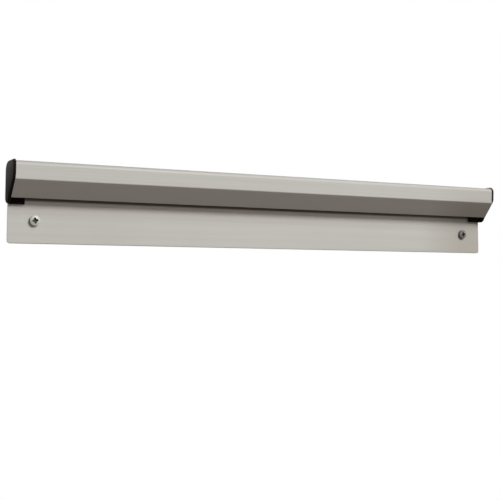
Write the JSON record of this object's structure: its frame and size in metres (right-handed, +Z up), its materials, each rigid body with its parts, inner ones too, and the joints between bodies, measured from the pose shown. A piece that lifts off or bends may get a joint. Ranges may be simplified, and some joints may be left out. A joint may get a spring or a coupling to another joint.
{
  "type": "order ticket holder",
  "caption": "Wall-mounted order ticket rail: an aluminium hood on a flat back plate holds loose glass marbles that grip slips pushed up into its slot, closed by plastic end caps.",
  "frame": {"origin": "on the wall plane, at the back of the plate, midway between the two screws", "axes": "+X along the rail to the right as seen from the front, +Y into the wall, +Z up"},
  "size_m": [0.4614, 0.0518, 0.062],
  "materials": {
    "rail_aluminium": "satin anodised, fine grain along the length",
    "cap_plastic": "black moulded plastic with a soft sheen",
    "screw_steel": "zinc plated",
    "marble_glass": "clear, faintly green"
  },
  "bodies": {
    "rail": {"rail": "rail_aluminium", "wall_screws": "screw_steel"},
    "left_end_cap": {"left_end_cap": "cap_plastic"},
    "right_end_cap": {"right_end_cap": "cap_plastic"},
    "marble_01": {"marble_01": "marble_glass"},
    "marble_02": {"marble_02": "marble_glass"},
    "marble_03": {"marble_03": "marble_glass"},
    "marble_04": {"marble_04": "marble_glass"},
    "marble_05": {"marble_05": "marble_glass"},
    "marble_06": {"marble_06": "marble_glass"},
    "marble_07": {"marble_07": "marble_glass"},
    "marble_08": {"marble_08": "marble_glass"},
    "marble_09": {"marble_09": "marble_glass"},
    "marble_10": {"marble_10": "marble_glass"},
    "marble_11": {"marble_11": "marble_glass"},
    "marble_12": {"marble_12": "marble_glass"},
    "marble_13": {"marble_13": "marble_glass"},
    "marble_14": {"marble_14": "marble_glass"},
    "marble_15": {"marble_15": "marble_glass"},
    "marble_16": {"marble_16": "marble_glass"},
    "marble_17": {"marble_17": "marble_glass"},
    "marble_18": {"marble_18": "marble_glass"},
    "marble_19": {"marble_19": "marble_glass"},
    "marble_20": {"marble_20": "marble_glass"},
    "marble_21": {"marble_21": "marble_glass"},
    "marble_22": {"marble_22": "marble_glass"},
    "marble_23": {"marble_23": "marble_glass"}
  },
  "joints": [
    {"name": "cap_left_pull", "type": "slide", "parent": "rail", "child": "left_end_cap", "axis": [-1, 0, 0], "range_m": [0, 0.016]},
    {"name": "cap_right_pull", "type": "slide", "parent": "rail", "child": "right_end_cap", "axis": [1, 0, 0], "range_m": [0, 0.016]},
    {"name": "marble_01_lift", "type": "slide", "parent": "rail", "child": "marble_01", "axis": [0, -0.6521, 0.7581], "range_m": [0, 0.0037]},
    {"name": "marble_02_lift", "type": "slide", "parent": "rail", "child": "marble_02", "axis": [0, -0.6521, 0.7581], "range_m": [0, 0.0037]},
    {"name": "marble_03_lift", "type": "slide", "parent": "rail", "child": "marble_03", "axis": [0, -0.6521, 0.7581], "range_m": [0, 0.0037]},
    {"name": "marble_04_lift", "type": "slide", "parent": "rail", "child": "marble_04", "axis": [0, -0.6521, 0.7581], "range_m": [0, 0.0037]},
    {"name": "marble_05_lift", "type": "slide", "parent": "rail", "child": "marble_05", "axis": [0, -0.6521, 0.7581], "range_m": [0, 0.0037]},
    {"name": "marble_06_lift", "type": "slide", "parent": "rail", "child": "marble_06", "axis": [0, -0.6521, 0.7581], "range_m": [0, 0.0037]},
    {"name": "marble_07_lift", "type": "slide", "parent": "rail", "child": "marble_07", "axis": [0, -0.6521, 0.7581], "range_m": [0, 0.0037]},
    {"name": "marble_08_lift", "type": "slide", "parent": "rail", "child": "marble_08", "axis": [0, -0.6521, 0.7581], "range_m": [0, 0.0037]},
    {"name": "marble_09_lift", "type": "slide", "parent": "rail", "child": "marble_09", "axis": [0, -0.6521, 0.7581], "range_m": [0, 0.0037]},
    {"name": "marble_10_lift", "type": "slide", "parent": "rail", "child": "marble_10", "axis": [0, -0.6521, 0.7581], "range_m": [0, 0.0037]},
    {"name": "marble_11_lift", "type": "slide", "parent": "rail", "child": "marble_11", "axis": [0, -0.6521, 0.7581], "range_m": [0, 0.0037]},
    {"name": "marble_12_lift", "type": "slide", "parent": "rail", "child": "marble_12", "axis": [0, -0.6521, 0.7581], "range_m": [0, 0.0037]},
    {"name": "marble_13_lift", "type": "slide", "parent": "rail", "child": "marble_13", "axis": [0, -0.6521, 0.7581], "range_m": [0, 0.0037]},
    {"name": "marble_14_lift", "type": "slide", "parent": "rail", "child": "marble_14", "axis": [0, -0.6521, 0.7581], "range_m": [0, 0.0037]},
    {"name": "marble_15_lift", "type": "slide", "parent": "rail", "child": "marble_15", "axis": [0, -0.6521, 0.7581], "range_m": [0, 0.0037]},
    {"name": "marble_16_lift", "type": "slide", "parent": "rail", "child": "marble_16", "axis": [0, -0.6521, 0.7581], "range_m": [0, 0.0037]},
    {"name": "marble_17_lift", "type": "slide", "parent": "rail", "child": "marble_17", "axis": [0, -0.6521, 0.7581], "range_m": [0, 0.0037]},
    {"name": "marble_18_lift", "type": "slide", "parent": "rail", "child": "marble_18", "axis": [0, -0.6521, 0.7581], "range_m": [0, 0.0037]},
    {"name": "marble_19_lift", "type": "slide", "parent": "rail", "child": "marble_19", "axis": [0, -0.6521, 0.7581], "range_m": [0, 0.0037]},
    {"name": "marble_20_lift", "type": "slide", "parent": "rail", "child": "marble_20", "axis": [0, -0.6521, 0.7581], "range_m": [0, 0.0037]},
    {"name": "marble_21_lift", "type": "slide", "parent": "rail", "child": "marble_21", "axis": [0, -0.6521, 0.7581], "range_m": [0, 0.0037]},
    {"name": "marble_22_lift", "type": "slide", "parent": "rail", "child": "marble_22", "axis": [0, -0.6521, 0.7581], "range_m": [0, 0.0037]},
    {"name": "marble_23_lift", "type": "slide", "parent": "rail", "child": "marble_23", "axis": [0, -0.6521, 0.7581], "range_m": [0, 0.0037]}
  ]
}
